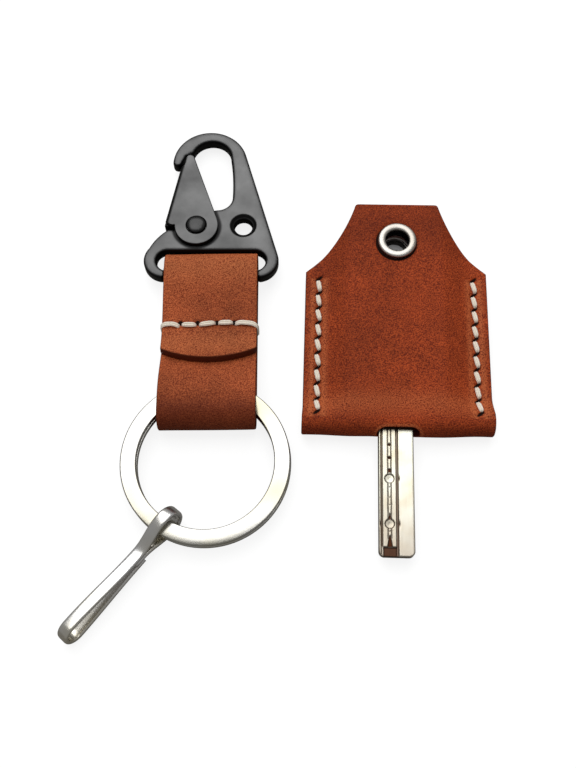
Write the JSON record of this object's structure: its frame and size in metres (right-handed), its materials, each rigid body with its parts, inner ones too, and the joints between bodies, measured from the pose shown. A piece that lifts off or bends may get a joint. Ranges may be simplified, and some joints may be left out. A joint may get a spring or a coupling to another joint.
{
  "type": "leather key cover",
  "caption": "Folded and sewn leather cover that holds a key's head, with the key and a leather strap fob that carries a snap hook, a split ring and a spring wire hook",
  "frame": {"origin": "on the axis of the cover's eyelet, at the cover's back face, which lies on the table", "axes": "+X across the cover to its right, +Y up the cover from the bottom fold to the eyelet, +Z out of the front face"},
  "size_m": [0.0858, 0.1168, 0.008],
  "materials": {
    "cover_leather": "smooth pull-up leather, satin",
    "strap_leather": "smooth leather, satin",
    "thread": "waxed linen thread",
    "eyelet_nickel": "nickel plated",
    "key_metal": "nickel silver, milled",
    "clip_black": "black electrophoretic coat, satin",
    "spring_steel": "drawn wire",
    "polished_steel": "polished nickel-plated steel"
  },
  "bodies": {
    "cover": {"cover_leather": "cover_leather", "left_seam_thread": "thread", "right_seam_thread": "thread", "front_eyelet": "eyelet_nickel", "front_eyelet_washer": "eyelet_nickel", "back_eyelet": "eyelet_nickel", "back_eyelet_washer": "eyelet_nickel"},
    "key": {"key": "key_metal"},
    "fob": {"strap_leather": "strap_leather", "strap_thread": "thread"},
    "clip": {"clip_frame": "clip_black", "gate_rivet": "clip_black", "gate_spring": "spring_steel"},
    "gate": {"clip_gate": "clip_black"},
    "ring": {"split_ring": "polished_steel"},
    "wire_hook": {"wire_hook": "polished_steel"}
  },
  "joints": [
    {"name": "key_slide", "type": "slide", "parent": "cover", "child": "key", "axis": [0, 1, 0], "range_m": [0, 0.08]},
    {"name": "fob_slide", "type": "slide", "parent": "cover", "child": "fob", "axis": [-1, 0, 0], "range_m": [0, 0.04]},
    {"name": "clip_swing", "type": "hinge", "parent": "fob", "child": "clip", "pos_m": [-0.04089, -0.00781, 0.00365], "axis": [0.9996, 0.0297, 0], "range_deg": [-100, 100]},
    {"name": "gate_pivot", "type": "hinge", "parent": "clip", "child": "gate", "pos_m": [-0.04467, 0.00312, 0.00326], "axis": [-0.001, 0.0351, 0.9994], "range_deg": [-25, 0], "stiffness_Nm_per_rad": 0.05, "springref_deg": 28.65, "deforming": ["gate_spring"]},
    {"name": "ring_turn", "type": "hinge", "parent": "fob", "child": "ring", "pos_m": [-0.03949, -0.05059, 0.00371], "axis": [0, 0, 1], "range_deg": [-85, 85]},
    {"name": "hook_swing", "type": "hinge", "parent": "ring", "child": "wire_hook", "pos_m": [-0.0472, -0.06432, 0.00371], "axis": [0.7648, -0.6098, 0.2079], "range_deg": [-150, 150]}
  ]
}
